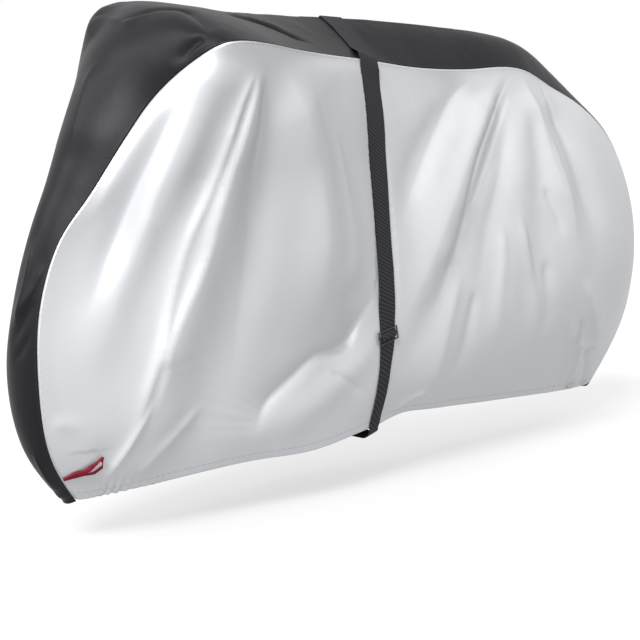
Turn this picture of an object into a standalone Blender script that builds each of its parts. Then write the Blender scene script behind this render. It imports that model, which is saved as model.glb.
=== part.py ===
"""Fitted bicycle cover, as it hangs on a bicycle: two side panels, one long
centre panel, a webbing strap with its slider, and a ribbon pull.

The cover is hollow.  The bicycle inside is not part of it.  +X points to the
rear wheel, +Y to the far side, +Z up.  The tables are written in the standing
frame (x from half way between the wheels, z from the ground); the finished
part is shifted so that its origin lies just under the top of the cloth, where
the top turns down towards the rear.
"""
import bpy
import math
import numpy as np
from mathutils import Vector
from mathutils.bvhtree import BVHTree

# ------------------------------------------------------------------ sizes (m)
CLOTH = 0.0020          # thickness of the coated cloth
HEM = 0.0032            # turned hem, two layers and the elastic
SEAM_GAP = 0.0003       # between two sewn panels
STRAP_W = 0.050         # webbing width where it lies flat on the side
STRAP_T = 0.0016        # webbing thickness
STRAP_X = -0.080        # strap plane, from half way between the wheels
STRAP_GAP = 0.0009      # webbing above the cloth it lies on
STRAP_SLACK = 0.0003    # how closely the webbing follows the bends under it
HEM_EASE = 0.0006       # and round the corner of the far hem
STRAP_DROP = 0.014      # how far the strap passes below the hems
SLIDER_L = 0.030        # slider, along the strap
SLIDER_W = 0.0610       # slider, across the strap
SLIDER_BAR = 0.0030     # its side and end bars
SLIDER_TURN = math.radians(12)      # it sits slanted on the strap
SLIDER_T = 0.0022
SLIDER_GAP = 0.0003      # over the webbing's highest place under it
#                         height  share of STRAP_W
STRAP_WIDTHS = (
    ("in the slider",    0.36, 0.90),
    ("flat on the side", 0.46, 1.00),
    ("shoulder",         0.58, 1.04),
    ("slope",            0.69, 1.17),
    ("over the ridge",   0.80, 1.32),
)
STRAP_WIDEST = STRAP_W * max(row[2] for row in STRAP_WIDTHS)
SLIDER_Z = 0.345        # height of the slider above the ground, near side
RIBBON_T = 0.0012
ORIGIN = (0.500, 0.0, 1.0105)   # under the cloth, where the top turns down

N_FRONT, N_TOP, N_REAR = 28, 44, 28     # mesh steps along the three seam runs
N_ACROSS = 8                            # mesh steps across the centre panel

# One row per section of the centre panel, from the front hem over the top to
# the rear hem.  near = seam on the near side, crown = middle of the panel,
# far = seam on the far side.  square: 1 tent ridge, 2 round, 3 boxy.
#   name            near x   near y  near z  crown x crown z  far x   far y   far z  square
SECTIONS = (
    ("front hem",   -0.799, -0.022, 0.085, -0.810, 0.079, -0.799, 0.020, 0.085, 2.0),
    ("lower wheel", -0.870, -0.045, 0.184, -0.885, 0.181, -0.870, 0.041, 0.184, 2.0),
    ("wheel front", -0.899, -0.055, 0.330, -0.915, 0.332, -0.899, 0.050, 0.330, 2.0),
    ("wheel top",   -0.883, -0.046, 0.480, -0.897, 0.487, -0.883, 0.042, 0.480, 2.0),
    ("fork",        -0.840, -0.055, 0.599, -0.858, 0.610, -0.840, 0.050, 0.599, 2.0),
    ("shin",        -0.793, -0.078, 0.671, -0.820, 0.694, -0.793, 0.070, 0.671, 2.0),
    ("head",        -0.736, -0.106, 0.768, -0.774, 0.800, -0.736, 0.096, 0.768, 2.0),
    ("corner",      -0.680, -0.132, 0.853, -0.728, 0.890, -0.680, 0.124, 0.856, 2.0),
    ("brow",        -0.645, -0.200, 0.915, -0.668, 0.980, -0.615, 0.184, 0.940, 2.0),
    ("bar front",   -0.624, -0.262, 0.948, -0.605, 1.027, -0.542, 0.252, 1.014, 2.4),
    ("bar",         -0.590, -0.277, 0.953, -0.555, 1.036, -0.494, 0.276, 1.038, 2.6),
    ("bar rear",    -0.520, -0.272, 0.950, -0.490, 1.036, -0.430, 0.268, 1.025, 2.2),
    ("top front",   -0.404, -0.228, 0.944, -0.380, 1.029, -0.340, 0.218, 0.985, 1.4),
    ("top",         -0.270, -0.170, 0.941, -0.245, 1.028, -0.245, 0.166, 0.953, 1.1),
    ("strap",       -0.080, -0.112, 0.936, -0.080, 1.030, -0.080, 0.112, 0.938, 1.0),
    ("top middle",   0.090, -0.101, 0.924,  0.090, 1.030,  0.090, 0.101, 0.924, 1.1),
    ("top rear",     0.270, -0.100, 0.924,  0.290, 1.025,  0.270, 0.100, 0.924, 1.2),
    ("saddle",       0.425, -0.102, 0.933,  0.450, 1.018,  0.425, 0.102, 0.933, 1.7),
    ("saddle bend",  0.500, -0.099, 0.926,  0.560, 1.004,  0.500, 0.099, 0.926, 1.9),
    ("rear slope",   0.620, -0.084, 0.890,  0.690, 0.947,  0.620, 0.084, 0.890, 1.7),
    ("rear slope 2", 0.760, -0.075, 0.846,  0.830, 0.860,  0.760, 0.075, 0.846, 1.8),
    ("rear brow",    0.900, -0.066, 0.772,  0.960, 0.776,  0.900, 0.066, 0.772, 2.0),
    ("rear upper",   1.020, -0.060, 0.630,  1.062, 0.634,  1.020, 0.060, 0.630, 2.0),
    ("rear",         1.066, -0.058, 0.480,  1.100, 0.480,  1.066, 0.058, 0.480, 2.0),
    ("rear lower",   1.042, -0.056, 0.300,  1.074, 0.292,  1.042, 0.056, 0.300, 2.0),
    ("rear hem",     0.905, -0.030, 0.088,  0.920, 0.076,  0.905, 0.030, 0.088, 2.0),
)
CORNER, BEND = 7, 18    # rows where a side panel turns from front to top to rear

# Hem of a side panel, front to rear: x, half width, height.
#   name           x       half w  height
HEM_ROWS = (
    ("front end",  -0.799, 0.022, 0.085),
    ("gather",     -0.700, 0.052, 0.094),
    ("front",      -0.560, 0.085, 0.106),
    ("front mid",  -0.420, 0.110, 0.115),
    ("sag",        -0.280, 0.134, 0.114),
    ("strap front", -0.115, 0.138, 0.134),
    ("strap rear", -0.050, 0.131, 0.140),
    ("lift",        0.010, 0.123, 0.150),
    ("middle",      0.140, 0.112, 0.142),
    ("rear mid",    0.330, 0.100, 0.128),
    ("rear",        0.560, 0.078, 0.110),
    ("gather 2",    0.740, 0.056, 0.096),
    ("rear end",    0.905, 0.030, 0.088),
)

# How far a side panel stands out from the middle of the bicycle, at four
# heights above the ground (0: outside the panel there).
#   name              x      at 0.20  at 0.40  at 0.60  at 0.80
BODY = (
    ("wheel front",  -0.800,  0.074,   0.090,   0.072,   0.0),
    ("front wheel",  -0.700,  0.098,   0.128,   0.124,   0.0),
    ("behind wheel", -0.600,  0.113,   0.152,   0.186,   0.226),
    ("under bar",    -0.500,  0.127,   0.168,   0.206,   0.243),
    ("down tube",    -0.400,  0.140,   0.178,   0.206,   0.222),
    ("waist front",  -0.250,  0.154,   0.180,   0.184,   0.180),
    ("strap",        -0.080,  0.153,   0.170,   0.158,   0.136),
    ("pedals",        0.100,  0.148,   0.178,   0.158,   0.124),
    ("seat tube",     0.300,  0.142,   0.186,   0.168,   0.128),
    ("rear fork",     0.500,  0.130,   0.190,   0.178,   0.138),
    ("rear wheel",    0.700,  0.112,   0.184,   0.180,   0.122),
    ("wheel rear",    0.850,  0.092,   0.160,   0.152,   0.0),
    ("tail",          0.970,  0.0,     0.116,   0.104,   0.0),
)
BODY_HEIGHTS = (0.20, 0.40, 0.60, 0.80)

# Folds of the near side panel.  Each runs from a start over a middle to an end
# point (x, z); reach = half width at start and end; out > 0 is a ridge.
#   name              x0      z0     xm      zm     x1      z1    reach0 reach1  out
FOLDS = (
    ("corner hollow", -0.692, 0.825, -0.749, 0.691, -0.868, 0.461, 0.020, 0.034, -0.011),
    ("corner ridge",  -0.641, 0.891, -0.674, 0.700, -0.815, 0.340, 0.018, 0.040,  0.014),
    ("bar flat",      -0.580, 0.880, -0.634, 0.700, -0.750, 0.320, 0.016, 0.034, -0.010),
    ("bar ridge",     -0.524, 0.893, -0.581, 0.699, -0.690, 0.240, 0.015, 0.028,  0.015),
    ("bar hollow",    -0.490, 0.888, -0.500, 0.655, -0.590, 0.200, 0.018, 0.044, -0.015),
    ("long ridge",    -0.454, 0.881, -0.330, 0.648, -0.310, 0.340, 0.022, 0.056,  0.016),
    ("waist hollow",  -0.300, 0.829, -0.200, 0.509, -0.212, 0.320, 0.026, 0.040, -0.012),
    ("hem fold",      -0.110, 0.445, -0.212, 0.325, -0.420, 0.225, 0.022, 0.034, -0.012),
    ("hem ridge",     -0.120, 0.360, -0.230, 0.258, -0.400, 0.170, 0.024, 0.034,  0.009),
    ("front gather",  -0.620, 0.270, -0.680, 0.190, -0.738, 0.112, 0.022, 0.014,  0.008),
    ("seat hollow",    0.330, 0.890,  0.086, 0.742, -0.030, 0.500, 0.024, 0.044, -0.011),
    ("seat ridge",     0.385, 0.895,  0.180, 0.650, -0.010, 0.340, 0.018, 0.040,  0.016),
    ("seat crease",    0.420, 0.880,  0.255, 0.654, -0.020, 0.270, 0.013, 0.028, -0.014),
    ("seat swell",     0.450, 0.880,  0.390, 0.640,  0.290, 0.280, 0.018, 0.044,  0.010),
    ("seat flat",      0.475, 0.850,  0.470, 0.620,  0.400, 0.260, 0.016, 0.036, -0.008),
    ("tail ridge",     0.480, 0.880,  0.530, 0.711,  0.620, 0.420, 0.018, 0.040,  0.013),
    ("tail hollow",    0.540, 0.860,  0.640, 0.680,  0.740, 0.420, 0.018, 0.044, -0.010),
    ("tail facet",     0.700, 0.360,  0.800, 0.270,  0.910, 0.175, 0.024, 0.020,  0.009),
)
FOLDS_FAR = tuple(row for row in FOLDS if row[0] in
                  ("corner ridge", "bar ridge", "bar hollow", "long ridge",
                   "seat hollow", "seat ridge", "tail ridge", "tail hollow"))


# ------------------------------------------------------------------- helpers
def spline(knots, rows, at):
    """Smooth curve through rows (one value set per knot) read at `at`."""
    knots, rows, at = np.asarray(knots), np.asarray(rows, float), np.asarray(at)
    h = np.diff(knots)[:, None]
    slope = np.diff(rows, axis=0) / h
    tan = np.zeros_like(rows)
    tan[1:-1] = (slope[:-1] * h[1:] + slope[1:] * h[:-1]) / (h[1:] + h[:-1])
    tan[0], tan[-1] = 1.5 * slope[0] - 0.5 * tan[1], 1.5 * slope[-1] - 0.5 * tan[-2]
    i = np.clip(np.searchsorted(knots, at, side="right") - 1, 0, len(knots) - 2)
    s = ((at - knots[i]) / (knots[i + 1] - knots[i]))[:, None]
    hh = (knots[i + 1] - knots[i])[:, None]
    return ((2 * s**3 - 3 * s**2 + 1) * rows[i] + (s**3 - 2 * s**2 + s) * hh * tan[i]
            + (-2 * s**3 + 3 * s**2) * rows[i + 1] + (s**3 - s**2) * hh * tan[i + 1])


def run_length(points):
    step = np.linalg.norm(np.diff(points, axis=0), axis=1)
    return np.concatenate([[0.0], np.cumsum(step)])


def even(points, n, first=None):
    """n + 1 evenly spaced places along a dense curve, as fractions 0 to 1;
    `first` sets the length of the first step (the hem turn)."""
    total = run_length(points)[-1]
    if first is None:
        return np.linspace(0, 1, n + 1)
    return np.concatenate([[0.0], np.linspace(first / total, 1, n)])


def pick(points, fractions):
    run = run_length(points)
    run /= run[-1]
    return np.stack([np.interp(fractions, run, points[:, k]) for k in range(points.shape[1])], 1)


def unit(v):
    return v / np.maximum(np.linalg.norm(v, axis=-1, keepdims=True), 1e-12)


def normals(grid, toward):
    """Unit normals of a grid of points, turned to the side of `toward`."""
    du, dv = np.gradient(grid, axis=0), np.gradient(grid, axis=1)
    n = unit(np.cross(du, dv))
    return n if (n * toward).sum() > 0 else -n


# ------------------------------------------------------------- centre panel
def seam_rows():
    """Dense rows (seam x, y, z, crown x, z, other seam x, y, z, square)."""
    rows = np.array([r[1:] for r in SECTIONS])
    middle = np.stack([rows[:, 0] + rows[:, 3], rows[:, 2] + rows[:, 4]], 1) / 2
    knots = run_length(middle)
    dense = []
    for a, b in ((0, CORNER), (CORNER, BEND), (BEND, len(rows) - 1)):
        dense.append(spline(knots, rows, np.linspace(knots[a], knots[b], 400)))
    return dense


def centre_grid():
    """Points of the centre panel [along, across] and of its two seams."""
    out = []
    for part, n, first, last in zip(seam_rows(), (N_FRONT, N_TOP, N_REAR),
                                    (0.020, None, None), (None, None, 0.020)):
        if last:
            f = 1 - even(part[::-1, :3], n, last)[::-1]
        else:
            f = even(part[:, :3], n, first)
        # even spacing is judged on the near seam; the other columns follow it
        run = run_length(part[:, :3])
        rows = np.stack([np.interp(f * run[-1], run, part[:, k])
                         for k in range(part.shape[1])], 1)
        out.append(rows if not out else rows[1:])
    rows = np.concatenate(out)
    near, crown = rows[:, 0:3], np.stack([rows[:, 3], np.zeros(len(rows)), rows[:, 4]], 1)
    far, square = rows[:, 5:8], rows[:, 8:9]
    crown[:, 1] = (near[:, 1] + far[:, 1]) / 2
    s = np.sin(np.linspace(-1, 1, N_ACROSS + 1) * math.pi / 2)[None, :] * 0.35 \
        + np.linspace(-1, 1, N_ACROSS + 1)[None, :] * 0.65
    soft = 0.10
    drop = (((s**2 + soft**2) ** (square / 2) - soft**square)
            / ((1 + soft**2) ** (square / 2) - soft**square))
    mean = (near + far) / 2
    grid = (crown[:, None, :] + drop[:, :, None] * (mean - crown)[:, None, :]
            + s[:, :, None] * ((far - near) / 2)[:, None, :])
    return grid


# --------------------------------------------------------------- side panels
def fold_height(x, z, rows):
    """Sum of the folds of a panel at the places (x, z)."""
    total = np.zeros_like(x)
    for _, x0, z0, xm, zm, x1, z1, r0, r1, out in rows:
        q = np.linspace(0, 1, 15)
        cx, cz = 2 * xm - (x0 + x1) / 2, 2 * zm - (z0 + z1) / 2
        px = (1 - q)**2 * x0 + 2 * q * (1 - q) * cx + q**2 * x1
        pz = (1 - q)**2 * z0 + 2 * q * (1 - q) * cz + q**2 * z1
        best, along = np.full(x.shape, 9.0), np.zeros(x.shape)
        for k in range(len(q) - 1):
            ax, az = px[k + 1] - px[k], pz[k + 1] - pz[k]
            t = np.clip(((x - px[k]) * ax + (z - pz[k]) * az) / (ax * ax + az * az), 0, 1)
            d = np.hypot(x - px[k] - t * ax, z - pz[k] - t * az)
            near = d < best
            best = np.where(near, d, best)
            along = np.where(near, q[k] + t * (q[k + 1] - q[k]), along)
        reach = r0 + (r1 - r0) * along
        rise = np.clip(along / 0.18, 0, 1) * np.clip((1 - along) / 0.30, 0, 1)
        total += out * (0.15 + 0.85 * rise * (2 - rise)) * np.exp(-(best / reach)**2)
    return total


def swell(grid, seam, hem, side):
    """How much further out than its plain spread a panel stands, so that it
    takes the half widths of the BODY table; nothing at the seam and hem."""
    x, y, z = grid[:, :, 0], side * grid[:, :, 1], grid[:, :, 2]
    places, lift = [], []
    for row in BODY:
        for height, width in zip(BODY_HEIGHTS, row[2:]):
            if width > 0:
                k = np.argmin((x - row[1])**2 + (z - height)**2)
                places.append((row[1], height))
                lift.append(width - y.flat[k])
    edge = np.concatenate([seam[::4, ::2], hem[1:-1:4, ::2]])
    places = np.array(places + [tuple(p) for p in edge])
    lift = np.array(lift + [0.0] * len(edge))

    def bend(ax, az):
        r2 = (ax[:, None] - places[:, 0])**2 + (az[:, None] - places[:, 1])**2
        return r2 * np.sqrt(r2)
    n = len(places)
    plane = np.stack([np.ones(n), places[:, 0], places[:, 1]], 1)
    system = np.zeros((n + 3, n + 3))
    system[:n, :n] = bend(places[:, 0], places[:, 1]) + np.eye(n) * 1e-5
    system[:n, n:], system[n:, :n] = plane, plane.T
    weight = np.linalg.solve(system, np.concatenate([lift, np.zeros(3)]))
    full = bend(x.ravel(), z.ravel()) @ weight[:n] + weight[n] \
        + weight[n + 1] * x.ravel() + weight[n + 2] * z.ravel()
    every = np.concatenate([seam, hem[1:-1]])
    dist = np.min(np.hypot(x[..., None] - every[:, 0], z[..., None] - every[:, 2]), axis=-1)
    return full.reshape(x.shape) * (1 - np.exp(-(dist / 0.012)**2))


def side_grid(seam, side, folds):
    """Points [front to rear, hem to top] of a side panel.

    seam: its seam points from the front hem round to the rear hem.
    side: -1 near, +1 far.
    """
    left = seam[:N_FRONT + 1]
    top = seam[N_FRONT:N_FRONT + N_TOP + 1]
    right = seam[N_FRONT + N_TOP:][::-1]
    hem = np.array([r[1:] for r in HEM_ROWS])
    hem = np.stack([hem[:, 0], side * hem[:, 1], hem[:, 2]], 1)
    hem[0], hem[-1] = left[0], right[0]
    dense = spline(run_length(hem), hem, np.linspace(0, run_length(hem)[-1], 600))
    bottom = pick(dense, np.linspace(0, 1, N_TOP + 1))
    v = run_length(left) / run_length(left)[-1]
    u = np.linspace(0, 1, N_TOP + 1)
    U, V = u[:, None, None], v[None, :, None]
    grid = ((1 - V) * bottom[:, None, :] + V * top[:, None, :]
            + (1 - U) * left[None, :, :] + U * right[None, :, :]
            - (1 - U) * (1 - V) * left[0] - U * (1 - V) * right[0]
            - (1 - U) * V * left[-1] - U * V * right[-1])
    x, z = grid[:, :, 0], grid[:, :, 2]
    dist = np.min(np.hypot(x[..., None] - seam[None, None, :, 0],
                           z[..., None] - seam[None, None, :, 2]), axis=-1)
    hold = 1 - np.exp(-(dist / 0.070)**2)
    out = swell(grid, seam, bottom, side)
    flat = 1 - 0.85 * np.exp(-((x - STRAP_X) / 0.045)**2)   # pressed by the strap
    out += hold * flat * fold_height(x, z, folds)
    grid[:, :, 1] += side * out
    return grid


# ------------------------------------------------------------------- solids
def add_mesh(name, verts, faces, colour, rough, metal=0.0, smooth=True):
    mesh = bpy.data.meshes.new(name)
    pts = np.asarray(verts, float)
    volume = sum(float(np.dot(pts[f[0]], np.cross(pts[f[k]], pts[f[k + 1]])))
                 for f in faces for k in range(1, len(f) - 1))
    if volume < 0:                      # every body faces outward
        faces = [tuple(reversed(f)) for f in faces]
    verts = [(float(x - ORIGIN[0]), float(y - ORIGIN[1]), float(z - ORIGIN[2]))
             for x, y, z in pts]
    mesh.from_pydata(verts, [], [tuple(int(i) for i in f) for f in faces])
    mesh.validate()
    for poly in mesh.polygons:
        poly.use_smooth = smooth
    mat = bpy.data.materials.new(name + "_finish")
    mat.use_nodes = True
    bsdf = mat.node_tree.nodes["Principled BSDF"]
    bsdf.inputs["Base Color"].default_value = (*colour, 1.0)
    bsdf.inputs["Roughness"].default_value = rough
    bsdf.inputs["Metallic"].default_value = metal
    mesh.materials.append(mat)
    obj = bpy.data.objects.new(name, mesh)
    bpy.context.collection.objects.link(obj)
    return obj


def sheet_solid(name, outer, direction, thick, colour, rough):
    """Closed body between a grid of outer points and the same grid set in."""
    nu, nv = outer.shape[:2]
    inner = outer - direction * thick[..., None]
    verts = np.concatenate([outer.reshape(-1, 3), inner.reshape(-1, 3)])
    at = np.arange(nu * nv).reshape(nu, nv)
    low = at + nu * nv
    faces = []
    for i in range(nu - 1):
        for j in range(nv - 1):
            loop = [(i, j), (i + 1, j), (i + 1, j + 1), (i, j + 1)]
            cut = (np.linalg.norm(outer[i, j] - outer[i + 1, j + 1])
                   > np.linalg.norm(outer[i + 1, j] - outer[i, j + 1]))
            loop = loop[1:] + loop[:1] if cut else loop     # split on the short diagonal
            for tri in (loop[:3], [loop[0], loop[2], loop[3]]):
                faces.append(tuple(at[p] for p in tri))
                faces.append(tuple(low[p] for p in reversed(tri)))
    rim = ([(i, 0) for i in range(nu)] + [(nu - 1, j) for j in range(1, nv)]
           + [(i, nv - 1) for i in range(nu - 2, -1, -1)] + [(0, j) for j in range(nv - 2, 0, -1)])
    for a, b in zip(rim, rim[1:] + rim[:1]):
        faces.append((at[b], at[a], low[a], low[b]))
    return add_mesh(name, verts, faces, colour, rough)


def build_cloth():
    centre = centre_grid()
    nt = len(centre)
    near = side_grid(centre[:, 0], -1, FOLDS)
    far = side_grid(centre[:, -1], +1, FOLDS_FAR)
    n_centre = normals(centre, centre - np.array([0.1, 0.0, 0.55]))
    n_near = normals(near, np.array([0.0, -1.0, 0.0]))
    n_far = normals(far, np.array([0.0, 1.0, 0.0]))
    slots = ([(0, j) for j in range(N_FRONT)] + [(i, N_FRONT) for i in range(N_TOP)]
             + [(N_TOP, N_FRONT - j) for j in range(N_REAR + 1)])
    for col, side, n_side, grid in ((0, -1, n_near, near), (-1, 1, n_far, far)):
        seam = centre[:, col].copy()
        along = unit(np.gradient(seam, axis=0))
        shared = unit(n_centre[:, col] + np.array([n_side[s] for s in slots]))
        across = unit(np.cross(shared, along))
        into = centre[:, 1 if col == 0 else -2] - seam
        across *= np.sign((across * into).sum(1))[:, None]      # toward the centre panel
        n_centre[:, col] = shared
        centre[:, col] = seam + across * SEAM_GAP / 2
        for k, s in enumerate(slots):
            n_side[s] = shared[k]
            grid[s] = seam[k] - across[k] * SEAM_GAP / 2
    thick = np.full(near.shape[:2], CLOTH)
    thick[:, :2] = HEM
    thick_c = np.full(centre.shape[:2], CLOTH)
    thick_c[:2] = thick_c[-2:] = HEM
    thick[0, :2] = thick[-1, :2] = HEM
    silver, black = (0.56, 0.57, 0.59), (0.030, 0.030, 0.034)
    objs = [
        sheet_solid("side_panel_near", near, n_near, thick, silver, 0.42),
        sheet_solid("side_panel_far", far, n_far, thick, silver, 0.42),
        sheet_solid("centre_panel", centre, n_centre, thick_c, black, 0.55),
    ]
    return objs


def tree_of(objs):
    verts, polys = [], []
    for obj in objs:
        base = len(verts)
        verts += [v.co + Vector(ORIGIN) for v in obj.data.vertices]
        polys += [[base + i for i in p.vertices] for p in obj.data.polygons]
    return BVHTree.FromPolygons(verts, polys)


# --------------------------------------------------------------------- strap
def strap_profile(tree):
    """Where the webbing lies, in its own plane, from the near hem over the
    ridge to the far hem: points (y, z) of its inner face, the tilt across it
    and the outward way."""
    hub = np.array([0.0, 0.52])
    xs = STRAP_X + np.linspace(-0.5, 0.5, 29) * (STRAP_WIDEST + 0.003)
    angles, reach = [], []
    for angle in np.radians(np.arange(254.0, -74.2, -0.25)):
        way = (math.cos(angle), math.sin(angle))
        row = []
        for x in xs:
            start = Vector((x, hub[0] + way[0] * 1.2, hub[1] + way[1] * 1.2))
            hit = tree.ray_cast(start, Vector((0.0, -way[0], -way[1])))
            row.append(1.2 - hit[3] if hit[0] is not None and hit[3] < 1.1 else np.nan)
        if not np.all(np.isnan(row)):
            angles.append(angle)
            reach.append(row)
    angles, reach = np.array(angles), np.array(reach)
    whole = np.flatnonzero(~np.isnan(reach).any(1))
    tilt = np.array([np.polyfit(xs, reach[k], 1)[0] for k in whole])
    tilt = np.interp(np.arange(len(angles)), whole, tilt)
    tilt = np.convolve(np.pad(tilt, 12, mode="edge"), np.ones(25) / 25, mode="valid")
    lift = np.nanmax(reach - tilt[:, None] * (xs - STRAP_X), axis=1)
    way = np.stack([np.cos(angles), np.sin(angles)], 1)
    pts = hub + way * lift[:, None]
    near, far = np.flatnonzero(pts[:, 0] < 0), np.flatnonzero(pts[:, 0] > 0)
    # it leaves the cloth where each hem ends
    first = near[np.flatnonzero(pts[near, 1] < pts[near, 1].min() + 0.005)[-1]] + 1
    last = far[np.flatnonzero(pts[far, 1] < pts[far, 1].min() + 0.005)[0]]
    return pts[first:last], tilt[first:last], way[first:last]


def keep_bends(line, slack):
    """Places of a dense line that are enough to follow it within `slack`."""
    keep, todo = {0, len(line) - 1}, [(0, len(line) - 1)]
    while todo:
        a, b = todo.pop()
        if b - a < 2:
            continue
        chord = unit(line[b] - line[a])
        off = line[a + 1:b] - line[a]
        gap = np.linalg.norm(off - (off @ chord)[:, None] * chord, axis=1)
        worst = int(np.argmax(gap))
        if gap[worst] > slack or np.linalg.norm(line[b] - line[a]) > 0.110:
            k = a + 1 + worst if gap[worst] > slack else (a + b) // 2
            keep.add(k)
            todo += [(a, k), (k, b)]
    return sorted(keep)


def build_strap(tree):
    pts, tilt, way = strap_profile(tree)
    run = run_length(pts)
    edge = way * tilt[:, None] * STRAP_WIDEST / 2
    f = run[keep_bends(np.concatenate([pts - edge, pts + edge], 1), STRAP_SLACK)]
    slider_at = np.interp(SLIDER_Z, pts[:240, 1], run[:240])
    fine = slider_at + np.array([-22, -17, -14, -12.5, -10, -8.2, -5.2, -3.6, -2, 0, 2,
                                 3.6, 5.2, 8.2, 10, 12.5, 14, 17, 22]) / 1000
    f = np.array(sorted([q for q in f if abs(q - slider_at) > 0.026] + list(fine)))
    y, z = np.interp(f, run, pts[:, 0]), np.interp(f, run, pts[:, 1])
    tl = np.interp(f, run, tilt)
    wy, wz = np.interp(f, run, way[:, 0]), np.interp(f, run, way[:, 1])
    d = np.abs(f - slider_at) * 1000
    weave = np.interp(d, [0, 3.6, 10, 30], [5.2, 5.2, 0.0, 0.0]) / 1000
    heights, shares = np.array([row[1:] for row in STRAP_WIDTHS]).T
    width = STRAP_W * np.interp(z, heights, shares)
    below = f < slider_at - 0.018
    width[below] = STRAP_W * np.interp(f[below] - slider_at, [-0.07, -0.018], [0.72, 0.90])
    line = np.stack([y, z], 1)
    # the run below the hems, from the far end back to the near end
    ends = []
    for k, step in ((0, 1), (-1, -1)):
        tangent = unit(line[k] - line[k + step])
        ends.append(line[k] + tangent * 0.010)
    low = min(ends[0][1], ends[1][1]) - STRAP_DROP
    under = []
    for q in np.linspace(0, 1, 7)[1:]:          # round the far hem
        a = q * math.pi / 2
        r = ends[1][1] - low
        under.append((ends[1][0] - r * (1 - math.cos(a)), ends[1][1] - r * math.sin(a)))
    for q in np.linspace(0, 1, 9)[1:-1]:
        r1, r0 = ends[1][1] - low, ends[0][1] - low
        under.append((ends[1][0] - r1 + q * (ends[0][0] + r0 - ends[1][0] + r1), low))
    for q in np.linspace(1, 0, 7)[:-1]:
        a = q * math.pi / 2
        r = ends[0][1] - low
        under.append((ends[0][0] + r * (1 - math.cos(a)), ends[0][1] - r * math.sin(a)))
    under = np.array([ends[1]] + under + [ends[0]])
    m = len(under)
    line = np.concatenate([line, under])
    tl = np.concatenate([tl, np.linspace(tl[-1], tl[0], m)])
    gap = np.concatenate([STRAP_GAP + weave, np.full(m, STRAP_GAP)])
    gap[len(y) - 3:len(y) + 3] += HEM_EASE
    width = np.concatenate([width, np.linspace(width[-1], width[0], m)])
    tangent = unit(np.roll(line, -1, 0) - np.roll(line, 1, 0))
    out2 = np.stack([tangent[:, 1], -tangent[:, 0]], 1)
    centre = line.mean(0)
    if ((line - centre) * out2).sum() < 0:
        out2 = -out2
    radial = np.concatenate([np.stack([wy, wz], 1), out2[len(y):]])
    # rows near the slider slant with it
    slant = np.tan(SLIDER_TURN) * np.interp(d, [18, 70], [1.0, 0.0])
    rows = []
    for k in range(len(line)):
        ring = []
        for face, depth in ((0, gap[k]), (1, gap[k] + STRAP_T)):
            for q in (-1, 0, 1) if face == 0 else (1, 0, -1):
                dx = q * width[k] / 2
                p = line[k]
                if k < len(y):
                    at = f[k] + dx * slant[k]
                    p = np.array([np.interp(at, run, pts[:, 0]), np.interp(at, run, pts[:, 1])])
                p = p + radial[k] * tl[k] * dx + out2[k] * depth
                ring.append((STRAP_X + dx, p[0], p[1]))
        rows.append(ring)
    rows = np.array(rows)
    nr, nc = rows.shape[:2]
    verts = rows.reshape(-1, 3)
    faces = []
    for i in range(nr):
        for j in range(nc):
            a, b = i * nc + j, i * nc + (j + 1) % nc
            c, d2 = ((i + 1) % nr) * nc + (j + 1) % nc, ((i + 1) % nr) * nc + j
            faces += [(a, d2, c), (a, c, b)]
    strap = add_mesh("strap", verts, faces, (0.045, 0.045, 0.050), 0.8)
    # the slider lies flat on the webbing to both sides of its middle bar
    beside = np.flatnonzero((d > 9) & (d < 20))
    skin = rows[beside, 3:].reshape(-1, 3)
    middle = skin.mean(0)
    up = np.linalg.svd(skin - middle)[2][2]
    k = int(np.argmin(d))
    if up @ np.array([0, out2[k][0], out2[k][1]]) < 0:
        up = -up
    across = rows[k, 3] - rows[k, 5]
    across = unit(across - up * (across @ up))
    along = np.cross(up, across)
    level = ((skin - middle) @ up).max() + SLIDER_GAP
    build_slider(middle + up * level, along, across, up)
    return strap


def build_slider(base, along, across, up):
    """Flat frame with two slots and a middle bar."""
    a = np.array([-SLIDER_W / 2, -SLIDER_W / 2 + SLIDER_BAR,
                  SLIDER_W / 2 - SLIDER_BAR, SLIDER_W / 2])
    b = np.array([-SLIDER_L / 2, -SLIDER_L / 2 + SLIDER_BAR, -0.0026, 0.0026,
                  SLIDER_L / 2 - SLIDER_BAR, SLIDER_L / 2])
    open_cells = {(1, 1), (1, 3)}
    verts, faces = [], []
    for t in (0.0, SLIDER_T):
        for j in range(6):
            for i in range(4):
                verts.append(base + across * a[i] + along * b[j] + up * t)

    def at(i, j, t):
        return t * 24 + j * 4 + i
    cells = [(i, j) for j in range(5) for i in range(3) if (i, j) not in open_cells]
    for i, j in cells:
        faces.append((at(i, j, 1), at(i + 1, j, 1), at(i + 1, j + 1, 1), at(i, j + 1, 1)))
        faces.append((at(i, j, 0), at(i, j + 1, 0), at(i + 1, j + 1, 0), at(i + 1, j, 0)))
        for di, dj, p, q in ((0, -1, (i, j), (i + 1, j)), (1, 0, (i + 1, j), (i + 1, j + 1)),
                             (0, 1, (i + 1, j + 1), (i, j + 1)), (-1, 0, (i, j + 1), (i, j))):
            if (i + di, j + dj) not in cells:
                faces.append((at(*p, 0), at(*q, 0), at(*q, 1), at(*p, 1)))
    return add_mesh("strap_slider", verts, faces, (0.035, 0.035, 0.038), 0.5, smooth=False)


# ---------------------------------------------------------------- ribbon pull
#   name        along   out to the upper and to the lower edge
PULL_OUTLINE = (
    ("root",     0.000, 0.0075, 0.0075),
    ("strands",  0.026, 0.0085, 0.0085),
    ("spread",   0.050, 0.0145, 0.0135),
    ("tip",      0.078, 0.0200, 0.0175),
)
PULL_HOLE = (0.046, 0.066, 0.0040, 0.0080)      # start, end, half height there


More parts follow.
